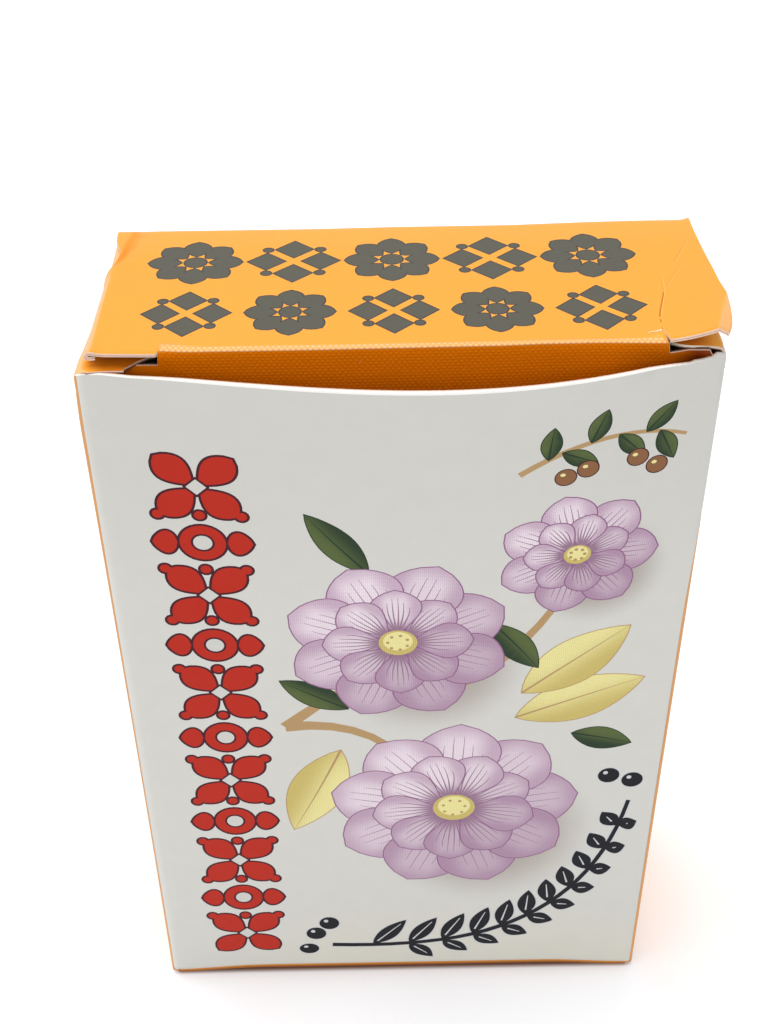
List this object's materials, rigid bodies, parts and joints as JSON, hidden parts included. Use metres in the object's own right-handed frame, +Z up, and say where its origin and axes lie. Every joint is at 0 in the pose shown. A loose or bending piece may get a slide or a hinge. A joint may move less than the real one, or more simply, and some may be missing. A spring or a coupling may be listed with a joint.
{
  "type": "folding carton",
  "caption": "Small upright paperboard folding carton with a slit-lock tuck lid, dust flaps, a bowed front panel and a glued bottom.",
  "frame": {"origin": "middle of the bottom face, midway between the walls", "axes": "+Z up through the lid, -Y out of the front panel, +X to the right seen from the front"},
  "size_m": [0.0611, 0.0306, 0.098],
  "materials": {
    "white_board": "semi-gloss",
    "orange_board": "semi-gloss",
    "dust_board": "matte"
  },
  "bodies": {
    "carton": {"sleeve": "white_board", "bottom_outer_flap": "orange_board", "bottom_inner_flap": "orange_board", "bottom_side_flap_left": "orange_board", "bottom_side_flap_right": "orange_board"},
    "lid_panel": {"lid": "orange_board"},
    "tuck": {"tuck_flap": "orange_board"},
    "dust_left": {"dust_flap_left": "dust_board"},
    "dust_right": {"dust_flap_right": "dust_board"}
  },
  "joints": [
    {"name": "lid_hinge", "type": "hinge", "parent": "carton", "child": "lid_panel", "pos_m": [0, 0.013, 0.09545], "axis": [-1, 0, 0], "range_deg": [0, 200]},
    {"name": "tuck_hinge", "type": "hinge", "parent": "lid_panel", "child": "tuck", "pos_m": [0.00085, -0.01188, 0.09654], "axis": [-1, 0, 0], "range_deg": [0, 40]},
    {"name": "dust_left_hinge", "type": "hinge", "parent": "carton", "child": "dust_left", "pos_m": [-0.03, 0, 0.0947], "axis": [0, -1, 0], "range_deg": [0, 90]},
    {"name": "dust_right_hinge", "type": "hinge", "parent": "carton", "child": "dust_right", "pos_m": [0.03, 0, 0.0947], "axis": [0, 1, 0], "range_deg": [0, 90]}
  ],
  "couplings": [
    {"joint": "tuck_hinge", "follows": "lid_hinge", "ratio": 0.2},
    {"joint": "dust_left_hinge", "follows": "lid_hinge", "ratio": 0.45},
    {"joint": "dust_right_hinge", "follows": "lid_hinge", "ratio": 0.45}
  ]
}
